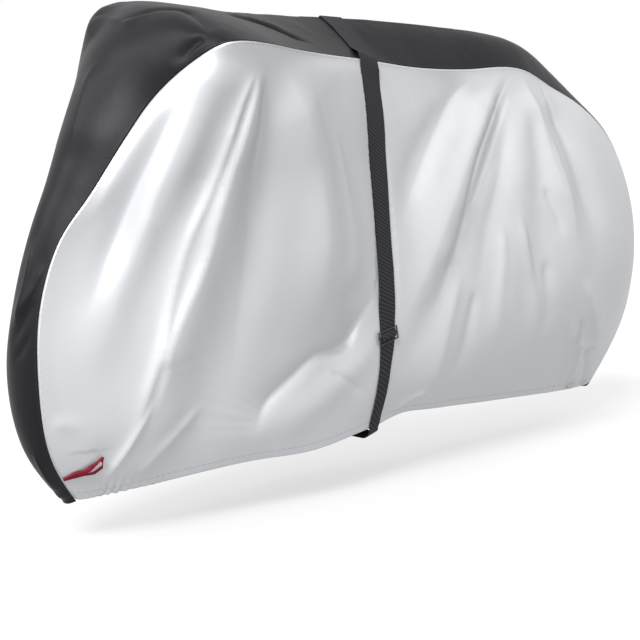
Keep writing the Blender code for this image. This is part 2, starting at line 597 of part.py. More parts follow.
def build_pull(tree):
    """Folded ribbon whose two strands leave an opening near the tip."""
    root = np.array([-0.838, -0.037, 0.136])
    aim = unit(np.array([0.070, -0.031, 0.024]))
    out = unit(np.array([-0.35, -0.93, 0.05]))
    out = unit(out - aim * (out @ aim))
    side = unit(np.cross(aim, out))
    if side[2] < 0:
        side = -side
    rows = np.array([r[1:] for r in PULL_OUTLINE])
    a = np.array([0.0, 0.014, 0.028, 0.046, 0.054, 0.060, 0.066, 0.078, 0.083])
    up = np.interp(a, rows[:, 0], rows[:, 1])
    dn = np.interp(a, rows[:, 0], rows[:, 2])
    up[-1], dn[-1] = 0.0140, 0.0120
    hole = np.interp(a, PULL_HOLE[:2], PULL_HOLE[2:])
    before = a < PULL_HOLE[0]
    cols = np.stack([up, np.where(before, up * 0.3, hole),
                     np.where(before, -dn * 0.3, -hole), -dn], 1)
    pts = root + a[:, None, None] * aim + cols[:, :, None] * side
    pts = pts + out * (0.012 * (a / a[-1])**2)[:, None, None]     # the tip stands away
    hits = [tree.ray_cast(Vector(p + out * 0.2), Vector(-out)) for p in pts.reshape(-1, 3)]
    lift = max(0.2 - hit[3] for hit in hits if hit[0] is not None)
    pts = pts + out * (lift + SEAM_GAP)     # the sewn end just clears the cloth
    n = len(a)
    verts = np.concatenate([pts.reshape(-1, 3), (pts + out * RIBBON_T).reshape(-1, 3)])
    cells = [(i, j) for i in range(n - 1) for j in range(3)
             if not (j == 1 and PULL_HOLE[0] <= a[i] < PULL_HOLE[1])]
    faces = []

    def at(i, j, t):
        return t * n * 4 + i * 4 + j
    for i, j in cells:
        faces.append((at(i, j, 1), at(i + 1, j, 1), at(i + 1, j + 1, 1), at(i, j + 1, 1)))
        faces.append((at(i, j, 0), at(i, j + 1, 0), at(i + 1, j + 1, 0), at(i + 1, j, 0)))
        for di, dj, p, q in ((0, -1, (i, j), (i + 1, j)), (1, 0, (i + 1, j), (i + 1, j + 1)),
                             (0, 1, (i + 1, j + 1), (i, j + 1)), (-1, 0, (i, j + 1), (i, j))):
            if (i + di, j + dj) not in cells:
                faces.append((at(*p, 0), at(*q, 0), at(*q, 1), at(*p, 1)))
    return add_mesh("pull_loop", verts, faces, (0.35, 0.012, 0.045), 0.6, smooth=False)


for old in list(bpy.data.objects):
    bpy.data.objects.remove(old, do_unlink=True)
cloth = build_cloth()
under = tree_of(cloth)
build_strap(under)
build_pull(under)
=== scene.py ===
# %% [markdown]
# # A fitted bicycle cover
#
# The real cover is sewn from three lengths of coated polyester: a silver panel
# on each side and one long black panel that runs up the front, over the
# handlebar and the saddle, and down the back. A webbing strap goes round its
# middle. The cover is hollow and open underneath. Each piece of cloth here
# starts from the outer face of its solid, so that it hangs exactly where the
# solid is, and then gets the folds that a solid is too coarse to hold.

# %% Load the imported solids
import math

import bmesh
import bpy
import numpy as np
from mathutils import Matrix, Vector, kdtree, noise


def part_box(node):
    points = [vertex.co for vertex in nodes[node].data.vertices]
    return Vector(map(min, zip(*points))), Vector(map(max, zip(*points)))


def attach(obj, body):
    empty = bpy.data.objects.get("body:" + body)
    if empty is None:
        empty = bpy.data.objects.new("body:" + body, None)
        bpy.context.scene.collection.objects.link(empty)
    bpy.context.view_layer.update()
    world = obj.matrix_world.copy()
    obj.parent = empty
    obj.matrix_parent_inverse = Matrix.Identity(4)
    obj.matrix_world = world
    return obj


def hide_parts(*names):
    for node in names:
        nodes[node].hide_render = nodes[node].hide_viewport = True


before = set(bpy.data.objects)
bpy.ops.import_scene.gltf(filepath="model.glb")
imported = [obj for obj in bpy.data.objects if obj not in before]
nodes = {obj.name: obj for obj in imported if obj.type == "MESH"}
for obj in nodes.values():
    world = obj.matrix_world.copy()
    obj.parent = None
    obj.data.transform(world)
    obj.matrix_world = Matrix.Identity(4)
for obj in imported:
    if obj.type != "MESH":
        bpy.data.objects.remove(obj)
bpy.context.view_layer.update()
print("solids:", sorted(nodes))

# %% [markdown]
# ## One set of axes
#
# Places are easiest to write as they are on a standing bicycle: x from half
# way between the wheels, z up from the ground. The part's own origin is under
# the top of the cloth, so one function turns the first into the second.

# %% From the standing bicycle to the part
MIDDLE_X = 0.500        # the part's origin, behind the middle of the wheelbase
ORIGIN_Z = 1.0105       # and above the ground


def stand(x, y, z):
    """A place on the standing bicycle, in the part's own axes."""
    return Vector((x - MIDDLE_X, y, z - ORIGIN_Z))


print("ground at z", round(stand(0, 0, 0).z, 4))

# %% [markdown]
# ## Camera, floor and light
#
# The camera stands low and well back, off the front corner, with a long lens,
# so that the rear end doesn't look much smaller than the front. The world is
# white all round, which lights every side. One wide lamp grazes the near side
# from above the front end, so a fold is bright on that flank and grey on the
# other. A weaker one does the same for the far side.
# The floor glows a little, as a light table does: a shadow on it stays faint,
# and it throws no more light up under the cloth than the world does.

# %% Camera
SENSOR, LENS = 36.0, 80.9               # mm
CAMERA_PLACE = (-2.374, -2.245, 0.819)  # on the standing bicycle's axes
TILT, TURNED = 8.11, 45.21              # degrees down, and off square to the side

lens = bpy.data.cameras.new("camera")
lens.sensor_width = SENSOR
lens.lens = LENS
camera = bpy.data.objects.new("camera", lens)
bpy.context.scene.collection.objects.link(camera)
camera.location = stand(*CAMERA_PLACE)
camera.rotation_euler = (math.radians(90 - TILT), 0.0, -math.radians(TURNED))
bpy.context.scene.camera = camera
print("camera at", [round(c, 3) for c in camera.location])


# %% Colours and material nodes
def hex_colour(code):
    """An sRGB hex colour as the linear red, green, blue, alpha that a node takes."""
    parts = [int(code[i:i + 2], 16) / 255 for i in (1, 3, 5)]
    linear = [c / 12.92 if c <= 0.04045 else ((c + 0.055) / 1.055) ** 2.4 for c in parts]
    return (*linear, 1.0)


def add(tree, kind, inputs=None, **settings):
    """Adds one node, sets its properties, and sets or links its inputs."""
    made = tree.nodes.new(kind)
    for name, value in settings.items():
        setattr(made, name, value)
    for name, value in (inputs or {}).items():
        if isinstance(value, bpy.types.NodeSocket):
            tree.links.new(value, made.inputs[name])
        else:
            made.inputs[name].default_value = value
    return made


def new_material(name):
    """A new material: its node tree and its Principled shader."""
    made = bpy.data.materials.new(name)
    made.use_nodes = True
    return made, made.node_tree, made.node_tree.nodes["Principled BSDF"]


def two_tones(tree, share, first, second):
    """A colour that goes from one hex colour to another with `share`."""
    mixed = add(tree, "ShaderNodeMix", {"Factor": share}, data_type="RGBA")
    mixed.inputs["A"].default_value = hex_colour(first)
    mixed.inputs["B"].default_value = hex_colour(second)
    return mixed.outputs["Result"]


def raised(tree, shader, layers):
    """Bumps laid one on another, each a (height, strength, distance)."""
    below = {}
    for height, strength, distance in layers:
        bump = add(tree, "ShaderNodeBump", {"Height": height, "Strength": strength,
                                            "Distance": distance, **below})
        below = {"Normal": bump.outputs["Normal"]}
    tree.links.new(below["Normal"], shader.inputs["Normal"])


def ribs_with_painted_light(tree, shader, run, pitch, low, high, strength, depth):
    """Two tones in even waves along `run`, the second one raised. The second, lighter tone on
    the crests is painted highlight, and the first, darker tone in the hollows is painted shade.
    """
    turns = add(tree, "ShaderNodeMath", {0: run, 1: 2 * math.pi / pitch},
                operation="MULTIPLY")
    wave = add(tree, "ShaderNodeMath", {0: turns.outputs[0]}, operation="SINE")
    level = add(tree, "ShaderNodeMapRange",
                {"Value": wave.outputs[0], "From Min": -1.0, "From Max": 1.0})
    height = level.outputs["Result"]
    tree.links.new(two_tones(tree, height, low, high), shader.inputs["Base Color"])
    raised(tree, shader, [(height, strength, depth)])


# %% Floor and lights
KEY_STRENGTH = 5.8      # watts a square metre
FAR_STRENGTH = 1.5
LAMP_WIDTH = 26         # degrees across, for soft shadows
FLOOR_HALF = 30.0       # metres
FLOOR_GLOW = 0.64       # of the world's brightness

paper, tree, shader = new_material("matt_white_studio_paper")
shader.inputs["Base Color"].default_value = hex_colour("#6E6E6E")
shader.inputs["Roughness"].default_value = 0.9
shader.inputs["Emission Color"].default_value = (1, 1, 1, 1)
shader.inputs["Emission Strength"].default_value = FLOOR_GLOW
bm = bmesh.new()
bmesh.ops.create_grid(bm, x_segments=1, y_segments=1, size=FLOOR_HALF)
bmesh.ops.translate(bm, verts=bm.verts, vec=stand(0, 0, 0))
sheet = bpy.data.meshes.new("floor")
bm.to_mesh(sheet)
bm.free()
sheet.materials.append(paper)
floor = bpy.data.objects.new("floor", sheet)
bpy.context.scene.collection.objects.link(floor)


def lamp(name, strength, way):
    """A wide lamp far off, that shines along `way`."""
    light = bpy.data.lights.new(name, "SUN")
    light.energy, light.angle = strength, math.radians(LAMP_WIDTH)
    holder = bpy.data.objects.new(name, light)
    bpy.context.scene.collection.objects.link(holder)
    holder.rotation_euler = Vector(way).to_track_quat("-Z", "Y").to_euler()


lamp("key", KEY_STRENGTH, (3.2, 1.2, -3.4))
lamp("far", FAR_STRENGTH, (2.6, -1.9, -2.4))
world = bpy.data.worlds.new("studio")
bpy.context.scene.world = world
world.use_nodes = True
world.node_tree.nodes["Background"].inputs["Color"].default_value = (1, 1, 1, 1)
world.node_tree.nodes["Background"].inputs["Strength"].default_value = 1.0
bpy.context.scene.view_settings.view_transform = "Standard"
print("two lamps and a white world")

# %% [markdown]
# ## Silver cloth
#
# The sides are polyester taffeta with an aluminium-filled coating. The flakes
# make it a little metallic, and the coating makes its gloss broad and soft.
# The threads are far too fine to show, so the grain is drawn at 3 mm, with
# slight creases from being packed away. Beside a seam the cloth
# rolls over into the stitching, and that roll catches the light.

# %% Rows of stitches
SEAM_ROW = 0.0050       # a row of stitches beside a seam
HEM_ROW = 0.0170        # and one above the hem
STITCH = 0.0070         # half the way from one stitch to the next
STITCH_GAP = 0.3        # share of the way with no thread
SEAM_THREAD = 0.0004    # half the width of the seam's row
HEM_THREAD = 0.0008     # and of the hem's


def stitches(tree, cloth_colour, thread):
    """Cloth colour with dashed rows beside the seams and above the hem. The
    distances are kept on each sheet as the attributes from_seam and from_hem."""
    place = add(tree, "ShaderNodeTexCoord").outputs["Object"]
    axes = add(tree, "ShaderNodeSeparateXYZ", {"Vector": place})
    run = add(tree, "ShaderNodeMath", {0: axes.outputs["X"], 1: axes.outputs["Z"]},
              operation="ADD")
    beat = add(tree, "ShaderNodeMath", {0: run.outputs[0], 1: STITCH}, operation="PINGPONG")
    dash = add(tree, "ShaderNodeMath", {0: beat.outputs[0], 1: STITCH * STITCH_GAP},
               operation="GREATER_THAN")
    rows = []
    for name, row, half in (("from_seam", SEAM_ROW, SEAM_THREAD),
                            ("from_hem", HEM_ROW, HEM_THREAD)):
        away = add(tree, "ShaderNodeAttribute", attribute_name=name).outputs["Fac"]
        rows.append(add(tree, "ShaderNodeMath", {0: away, 1: row, 2: half},
                        operation="COMPARE"))
    either = add(tree, "ShaderNodeMath", {0: rows[0].outputs[0], 1: rows[1].outputs[0]},
                 operation="MAXIMUM")
    share = add(tree, "ShaderNodeMath", {0: either.outputs[0], 1: dash.outputs[0]},
                operation="MULTIPLY")
    mixed = add(tree, "ShaderNodeMix", {"Factor": share.outputs[0]}, data_type="RGBA")
    tree.links.new(cloth_colour, mixed.inputs["A"])
    mixed.inputs["B"].default_value = hex_colour(thread)
    return mixed.outputs["Result"]


def noise_at(tree, place, scale, detail):
    """A smooth noise at a place, 0 to 1."""
    made = add(tree, "ShaderNodeTexNoise", {"Vector": place, "Scale": scale, "Detail": detail})
    return made.outputs["Fac"]


def pack_creases(tree, place, stretch, scale, detail):
    """Height of the slight creases from being packed away."""
    packed = add(tree, "ShaderNodeMapping", {"Vector": place, "Scale": stretch})
    return noise_at(tree, packed.outputs["Vector"], scale, detail)


# %% Aluminised coated taffeta
GRAIN = 330.0           # noise scale of the weave's grain: 3 mm
ROLL_START, ROLL_END = 0.0005, 0.0045   # metres from the seam, up the roll

silver, tree, shader = new_material("aluminised_coated_taffeta")
place = add(tree, "ShaderNodeTexCoord").outputs["Object"]
cloud = noise_at(tree, place, 5.0, 3.0)
tint = two_tones(tree, cloud, "#A8AAAD", "#B0B1B4")
tree.links.new(stitches(tree, tint, "#8E9093"), shader.inputs["Base Color"])
from_seam = add(tree, "ShaderNodeAttribute", attribute_name="from_seam").outputs["Fac"]
roll = add(tree, "ShaderNodeMapRange",
           {"Value": from_seam, "From Min": ROLL_START, "From Max": ROLL_END})
raised(tree, shader, [
    (roll.outputs["Result"], 0.8, 0.0030),
    (pack_creases(tree, place, (9.0, 9.0, 6.0), 1.6, 3.0), 0.10, 0.008),
    (noise_at(tree, place, GRAIN, 2.0), 0.05, 0.0005),
])
gloss = add(tree, "ShaderNodeMapRange", {"Value": cloud, "To Min": 0.44, "To Max": 0.50})
tree.links.new(gloss.outputs["Result"], shader.inputs["Roughness"])
shader.inputs["Metallic"].default_value = 0.30
print("silver cloth: soft broad gloss, slightly metallic")

# %% [markdown]
# ## Black cloth
#
# The same taffeta, dyed black with a clear coating: it isn't metallic, and
# what light it shows is the coating's gloss.

# %% Black coated taffeta
black, tree, shader = new_material("black_coated_taffeta")
place = add(tree, "ShaderNodeTexCoord").outputs["Object"]
cloud = noise_at(tree, place, 6.0, 4.0)
tint = two_tones(tree, cloud, "#0F0F12", "#141418")
tree.links.new(stitches(tree, tint, "#232327"), shader.inputs["Base Color"])
raised(tree, shader, [
    (pack_creases(tree, place, (9.0, 14.0, 9.0), 1.5, 5.0), 0.16, 0.008),
    (noise_at(tree, place, GRAIN, 2.0), 0.06, 0.0005),
])
shader.inputs["Roughness"].default_value = 0.44
shader.inputs["IOR"].default_value = 1.21
print("black cloth: dark, with the coating's gloss")

# %% [markdown]
# ## From a solid to a sheet
#
# A solid sheet has an outer face, an inner face and a rim. The rim meets the
# outer face at a sharp edge, so splitting the sharp edges sets that face free,
# and it is the loose part that faces away from the hollow. Joined back into
# quads and subdivided, it is fine enough to take a sharp fold.

# %% The outer face of a solid sheet
HUB = stand(0.05, 0.0, 0.50)        # in the middle of the hollow
MERGE = 0.00002                     # points nearer than this are one
RIM_ANGLE = math.radians(55)        # the least between a face and the rim
ANY_ANGLE = 3.2                     # radians: lets any two triangles join
TOP_HALF = 0.006                    # the top's line is this near the middle plane
TOP_ABOVE = stand(0, 0, 0.98).z     # and higher than this
TOP_START, TOP_RUN = -0.46, 0.20    # its edge begins here, and is full this far behind
TOP_CREASE = 0.8                    # how sharp it then stays: 1 is as it was


def loose_parts(bm):
    """The faces of a mesh, in connected groups."""
    left, groups = set(bm.faces), []
    while left:
        todo, group = [left.pop()], []
        while todo:
            face = todo.pop()
            group.append(face)
            for edge in face.edges:
                for other in edge.link_faces:
                    if other in left:
                        left.remove(other)
                        todo.append(other)
        groups.append(group)
    return groups


def sharp_edges(bm, angle):
    """The edges where two faces meet at more than an angle."""
    return [e for e in bm.edges
            if len(e.link_faces) == 2 and e.calc_face_angle(0.0) > angle]


def crease_top(bm):
    """Lets the line along the top, behind the handlebar, keep its edge."""
    crease = bm.edges.layers.float.new("crease_edge")
    for e in bm.edges:
        a, b = e.verts[0].co, e.verts[1].co
        if max(abs(a.y), abs(b.y)) < TOP_HALF and min(a.z, b.z) > TOP_ABOVE:
            along = (a.x + b.x) / 2 + MIDDLE_X
            e[crease] = TOP_CREASE * min(max((along - TOP_START) / TOP_RUN, 0.0), 1.0)


def outer_face(node, levels, ridge=False):
    """The outer face of a node, subdivided, as a new mesh."""
    bm = bmesh.new()
    bm.from_mesh(nodes[node].data)
    bmesh.ops.remove_doubles(bm, verts=bm.verts, dist=MERGE)
    bmesh.ops.split_edges(bm, edges=sharp_edges(bm, RIM_ANGLE))
    groups = loose_parts(bm)
    score = [sum(f.calc_area() * f.normal.dot((f.calc_center_median() - HUB).normalized())
                 for f in group) for group in groups]
    keep = set(groups[score.index(max(score))])
    bmesh.ops.delete(bm, geom=[f for f in bm.faces if f not in keep], context="FACES")
    bmesh.ops.join_triangles(bm, faces=bm.faces, angle_face_threshold=ANY_ANGLE,
                             angle_shape_threshold=ANY_ANGLE)
    if ridge:
        crease_top(bm)
    coarse = bpy.data.meshes.new(node + "_coarse")
    bm.to_mesh(coarse)
    quads = sum(len(p.vertices) == 4 for p in coarse.polygons)
    print(node, "parts", len(groups), "outer faces", len(coarse.polygons), "quads", quads)
    bm.free()
    holder = bpy.data.objects.new(node + "_coarse", coarse)
    bpy.context.scene.collection.objects.link(holder)
    smooth = holder.modifiers.new("smooth", "SUBSURF")
    smooth.levels = smooth.render_levels = levels
    smooth.boundary_smooth = "PRESERVE_CORNERS"
    ready = holder.evaluated_get(bpy.context.evaluated_depsgraph_get())
    fine = bpy.data.meshes.new_from_object(ready)
    bpy.data.objects.remove(holder)
    return fine


def read_points(mesh):
    """Places of a mesh's vertices, a row each."""
    co = np.empty(len(mesh.vertices) * 3)
    mesh.vertices.foreach_get("co", co)
    return co.reshape(-1, 3)


def read_normals(mesh):
    """Normals of a mesh's vertices, a row each."""
    no = np.empty(len(mesh.vertices) * 3)
    mesh.vertex_normals.foreach_get("vector", no)
    return no.reshape(-1, 3)


def rim_places(mesh):
    """Indices of the vertices on a sheet's edge."""
    bm = bmesh.new()
    bm.from_mesh(mesh)
    found = [v.index for v in bm.verts if v.is_boundary]
    bm.free()
    return found


near_cloth = outer_face("side_panel_near", levels=3)
far_cloth = outer_face("side_panel_far", levels=2)
centre_cloth = outer_face("centre_panel", levels=3, ridge=True)

# %% [markdown]
# ## Folds
#
# Cloth that hangs from a bar and a saddle falls in folds that fan out from
# them. Each fold is a smooth line through its places, with a height, a half
# width on each side, and an edge: 1 is a sharp crest, 2 a round one. A fold
# with one narrow and one wide side has fallen over, and a line pressed in is
# a crease.

# %% Distance to a line of places
STEPS = 24                      # short steps in a fold's line
FAR_OFF = 9.0                   # metres: further than any place
NARROW, SPREAD = 0.55, 0.80     # share of its widths at the head, and gained by the foot
FADE_HEAD, FADE_FOOT = 0.22, 0.34   # shares of its line that it fades over


def smooth_line(places):
    """A smooth curve through three or more places, in short steps."""
    p = np.asarray(places, float)
    p = np.concatenate([2 * p[:1] - p[1:2], p, 2 * p[-1:] - p[-2:-1]])
    k = np.linspace(0, len(p) - 3 - 1e-9, STEPS + 1)
    i, t = k.astype(int), (k % 1)[:, None]
    a, b, c, d = p[i], p[i + 1], p[i + 2], p[i + 3]
    return b + t * (c - a) / 2 + t**2 * (a - 2.5 * b + 2 * c - d / 2) \
        + t**3 * ((d - a) / 2 + 1.5 * (b - c))


def along_line(points, line, turn):
    """Signed distance of points to a smooth curve through places, and how far
    along it each is. `turn` gives the two axes that set the sign."""
    line = smooth_line(line)
    best = np.full(len(points), FAR_OFF)
    along, sign = np.zeros(len(points)), np.ones(len(points))
    last = len(line) - 1
    for k in range(last):
        step = line[k + 1] - line[k]
        off = points - line[k]
        t = np.clip(off @ step / (step @ step), 0, 1)
        away = off - t[:, None] * step
        dist = np.linalg.norm(away, axis=1)
        closer = dist < best
        best = np.where(closer, dist, best)
        along = np.where(closer, (k + t) / last, along)
        side = step[turn[0]] * away[:, turn[1]] - step[turn[1]] * away[:, turn[0]]
        sign = np.where(closer, np.sign(side), sign)
    return best * sign, along


def ramp(value, start, end):
    """0 before start, 1 after end, smooth between."""
    t = np.clip((value - start) / (end - start), 0, 1)
    return t * t * (3 - 2 * t)


def fold(points, line, fore, aft, out, edge, turn=(0, 1)):
    """Height of one fold at points: `out` on its line, and 0.37 of that at its
    half widths. It starts narrow, widens downwards, and fades at both ends."""
    away, along = along_line(points, line, turn)
    reach = np.where(away > 0, aft, fore) * (NARROW + SPREAD * along)
    fade = ramp(along, 0.0, FADE_HEAD) * ramp(1 - along, 0.0, FADE_FOOT)
    return out * fade * np.exp(-(np.abs(away) / reach)**edge)


# %% Folds of a side panel
SIDE_FOLDS = (
    # name, half width fore and aft, height out, edge; places (x, z) from the head down
    ("seam strip",    0.020, 0.014,  0.0050,   1.5,
     (-0.664, 0.872), (-0.712, 0.790), (-0.757, 0.700), (-0.800, 0.610)),
    ("corner valley", 0.018, 0.019, -0.0110,   1.6,
     (-0.658, 0.905), (-0.671, 0.846), (-0.693, 0.774), (-0.714, 0.710), (-0.736, 0.636),
     (-0.757, 0.571), (-0.781, 0.507), (-0.826, 0.420)),
    ("grip fold",     0.024, 0.070,  0.0105,   1.4,
     (-0.632, 0.936), (-0.640, 0.900), (-0.652, 0.846), (-0.680, 0.728), (-0.694, 0.673),
     (-0.710, 0.598), (-0.750, 0.480), (-0.815, 0.320)),
    ("front valley",  0.080, 0.032, -0.0085,   1.4,
     (-0.575, 0.840), (-0.622, 0.660), (-0.662, 0.500), (-0.700, 0.350), (-0.735, 0.230)),
    ("pleat front",   0.012, 0.009,  0.0070,   1.3,
     (-0.539, 0.906), (-0.566, 0.845), (-0.603, 0.677), (-0.640, 0.558), (-0.679, 0.367),
     (-0.712, 0.244), (-0.750, 0.110)),
    ("pleat rear",    0.009, 0.050,  0.0110,   1.3,
     (-0.530, 0.906), (-0.548, 0.828), (-0.588, 0.644), (-0.605, 0.543), (-0.663, 0.380),
     (-0.664, 0.321), (-0.695, 0.180)),
    ("flank valley",  0.050, 0.040, -0.0165,   1.3,
     (-0.508, 0.930), (-0.496, 0.810), (-0.492, 0.640), (-0.500, 0.460), (-0.505, 0.260)),
    ("stem fold",     0.105, 0.230,  0.0245,  1.15,
     (-0.478, 0.945), (-0.415, 0.825), (-0.362, 0.721), (-0.332, 0.610), (-0.312, 0.480),
     (-0.300, 0.350)),
    ("waist fill",    0.040, 0.050,  0.0085,   1.9,
     (-0.300, 0.829), (-0.218, 0.570), (-0.205, 0.430)),
    ("knee crease",   0.080, 0.011, -0.0155,   1.0,
     (-0.090, 0.480), (-0.155, 0.383), (-0.204, 0.330), (-0.289, 0.316), (-0.346, 0.278),
     (-0.402, 0.240), (-0.425, 0.205), (-0.430, 0.165)),
    ("knee shelf",    0.024, 0.060,  0.0012,   1.6,
     (-0.070, 0.400), (-0.118, 0.342), (-0.172, 0.290), (-0.262, 0.272), (-0.322, 0.232),
     (-0.378, 0.186)),
    ("knee tick",     0.012, 0.008, -0.0036,   1.2,
     (-0.250, 0.290), (-0.195, 0.259), (-0.120, 0.215)),
    ("saddle valley", 0.100, 0.036, -0.0115,   1.3,
     (0.290, 0.910), (0.210, 0.850), (0.110, 0.745), (0.036, 0.652), (-0.050, 0.560)),
    ("saddle fold",   0.070, 0.030,  0.0060,   1.3,
     (0.430, 0.950), (0.300, 0.820), (0.190, 0.690), (0.095, 0.560), (0.020, 0.440),
     (-0.050, 0.330)),
    ("saddle crease", 0.013, 0.007, -0.0068,   1.1,
     (0.440, 0.930), (0.326, 0.812), (0.253, 0.728), (0.201, 0.638), (0.165, 0.549),
     (0.124, 0.472), (0.060, 0.370)),
    ("crease lip",    0.010, 0.036,  0.0030,   1.6,
     (0.430, 0.890), (0.340, 0.755), (0.260, 0.655), (0.160, 0.530)),
    ("seat valley",   0.030, 0.034, -0.0060,   1.7,
     (0.400, 0.820), (0.330, 0.680), (0.260, 0.540), (0.220, 0.400)),
    ("tail fold",     0.060, 0.024,  0.0105,   1.2,
     (0.480, 0.930), (0.500, 0.800), (0.516, 0.711), (0.552, 0.613), (0.600, 0.480)),
    ("tail line",     0.008, 0.012,  0.0036,   1.3,
     (0.510, 0.790), (0.540, 0.690), (0.565, 0.610), (0.600, 0.500)),
    ("tail valley",   0.036, 0.050, -0.0090,   1.7,
     (0.560, 0.860), (0.613, 0.758), (0.650, 0.640), (0.700, 0.490)),
    ("tail tuck",     0.012, 0.012, -0.0040,   1.6,
     (0.480, 0.650), (0.512, 0.590), (0.545, 0.520)),
    ("tail crease",   0.008, 0.010, -0.0036,   1.3,
     (0.552, 0.910), (0.594, 0.809), (0.640, 0.720)),
    ("streak 1",      0.020, 0.020,  0.0032,   1.9,
     (0.318, 0.580), (0.308, 0.480), (0.297, 0.400), (0.300, 0.270)),
    ("streak 2",      0.026, 0.020,  0.0050,   1.8,
     (0.370, 0.600), (0.400, 0.480), (0.430, 0.390), (0.480, 0.250)),
    ("skirt valley",  0.026, 0.030, -0.0050,   1.8,
     (0.470, 0.480), (0.490, 0.380), (0.520, 0.270)),
    ("seat skirt",    0.046, 0.030,  0.0060,   1.6,
     (0.170, 0.480), (0.120, 0.360), (0.095, 0.240), (0.085, 0.140)),
    ("seat skirt 2",  0.022, 0.026, -0.0050,   1.7,
     (0.215, 0.430), (0.190, 0.320), (0.170, 0.200)),
    ("tail facet",    0.016, 0.034,  0.0062,   1.2,
     (0.630, 0.420), (0.700, 0.335), (0.780, 0.262), (0.850, 0.205)),
    ("facet tick",    0.008, 0.012, -0.0050,   1.3,
     (0.672, 0.310), (0.700, 0.262), (0.722, 0.215)),
    ("facet side",    0.012, 0.014,  0.0045,   1.3,
     (0.690, 0.235), (0.790, 0.216), (0.880, 0.208)),
    ("tail pull 1",   0.009, 0.013,  0.0062,   1.2,
     (0.700, 0.280), (0.747, 0.181), (0.770, 0.100)),
    ("tail pull 2",   0.009, 0.012,  0.0055,   1.3,
     (0.620, 0.320), (0.679, 0.205), (0.740, 0.110)),
    ("tail pull 3",   0.011, 0.015, -0.0058,   1.3,
     (0.760, 0.230), (0.823, 0.156), (0.858, 0.090)),
    ("hem pull 1",    0.007, 0.015,  0.0062,   1.2,
     (-0.680, 0.290), (-0.723, 0.199), (-0.742, 0.160), (-0.770, 0.100)),
    ("hem pull 2",    0.014, 0.018,  0.0048,   1.7,
     (-0.560, 0.260), (-0.656, 0.170), (-0.700, 0.112)),
    ("pull facet",    0.022, 0.022,  0.0034,   1.7,
     (-0.885, 0.255), (-0.817, 0.237), (-0.765, 0.170)),
    ("strap pull",    0.010, 0.010,  0.0034,   1.4,
     (0.090, 0.198), (0.034, 0.181), (-0.030, 0.150)),
)


def side_relief(points, share, without=()):
    """Folds of a side panel at points of the part, times `share`."""
    flat = points[:, (0, 2)] + np.array([MIDDLE_X, ORIGIN_Z])
    total = np.zeros(len(points))
    for name, fore, aft, out, edge, *line in SIDE_FOLDS:
        if name not in without:
            total += fold(flat, line, fore, aft, out, edge)
    return total * share


NEAR_SHARE, FAR_SHARE = 1.25, 0.90  # of the heights in the list
PLEATS = ("pleat front", "pleat rear")
FRONT, BEHIND = -0.72, -0.50    # nothing stands out before the first of these


def far_relief(points):
    """Folds of the far side: lower, with no pleats, and none pushed out in front."""
    height = side_relief(points, FAR_SHARE, without=PLEATS)
    return np.minimum(height, height * ramp(points[:, 0] + MIDDLE_X, FRONT, BEHIND))


# %% Folds of the black panel
CENTRE_EDGE = 1.3       # all of them fairly sharp
CENTRE_FOLDS = (
    # name, half width fore and aft, height out; places (x, y, z)
    ("brow dip",      0.011, 0.016, -0.0085,
     (-0.652, 0.010, 0.995), (-0.614, -0.045, 1.014), (-0.572, -0.091, 1.018),
     (-0.589, -0.152, 1.001), (-0.612, -0.204, 0.979), (-0.632, -0.214, 0.956)),
    ("brow edge",     0.007, 0.007,  0.0040,
     (-0.660, -0.004, 0.990), (-0.640, -0.032, 1.003), (-0.612, -0.060, 1.012),
     (-0.600, -0.085, 1.008)),
    ("grip hollow",   0.014, 0.010, -0.0110,
     (-0.629, -0.222, 0.962), (-0.640, -0.199, 0.948), (-0.650, -0.183, 0.926),
     (-0.660, -0.164, 0.900)),
    ("grip line",     0.005, 0.005,  0.0050,
     (-0.622, -0.240, 0.958), (-0.639, -0.209, 0.938), (-0.653, -0.177, 0.912),
     (-0.664, -0.152, 0.884)),
    ("far grip",      0.014, 0.014,  0.0050,
     (-0.600, 0.145, 1.006), (-0.649, 0.008, 0.996), (-0.668, -0.056, 0.974)),
    ("far corner",    0.052, 0.052,  0.0165,
     (-0.655, 0.100, 0.966), (-0.604, 0.145, 1.002), (-0.589, 0.140, 1.020),
     (-0.560, 0.105, 1.034)),
    ("bar crease",    0.012, 0.007, -0.0085,
     (-0.469, -0.090, 1.016), (-0.397, -0.083, 1.009), (-0.349, -0.105, 0.993),
     (-0.310, -0.125, 0.975), (-0.266, -0.138, 0.960)),
    ("bar lip",       0.008, 0.008,  0.0040,
     (-0.460, -0.072, 1.020), (-0.397, -0.066, 1.014), (-0.345, -0.084, 1.002),
     (-0.300, -0.104, 0.984)),
    ("brow left",     0.034, 0.024,  0.0060,
     (-0.707, 0.012, 0.923), (-0.760, -0.009, 0.828), (-0.799, -0.023, 0.736)),
    ("shin line",     0.008, 0.012,  0.0046,
     (-0.860, -0.002, 0.605), (-0.883, -0.007, 0.537), (-0.900, -0.004, 0.471),
     (-0.906, 0.013, 0.430)),
    ("wheel line",    0.006, 0.014,  0.0060,
     (-0.868, -0.042, 0.552), (-0.884, -0.033, 0.510), (-0.898, -0.016, 0.474),
     (-0.908, 0.016, 0.425)),
    ("wheel dip 1",   0.012, 0.012, -0.0062,
     (-0.886, -0.043, 0.486), (-0.902, -0.019, 0.448), (-0.911, 0.018, 0.386)),
    ("wheel dip 2",   0.010, 0.010, -0.0055,
     (-0.897, -0.042, 0.428), (-0.908, -0.025, 0.400), (-0.914, 0.006, 0.360)),
    ("hem crumple",   0.008, 0.008,  0.0042,
     (-0.889, -0.018, 0.198), (-0.866, -0.014, 0.152), (-0.829, -0.006, 0.104)),
)


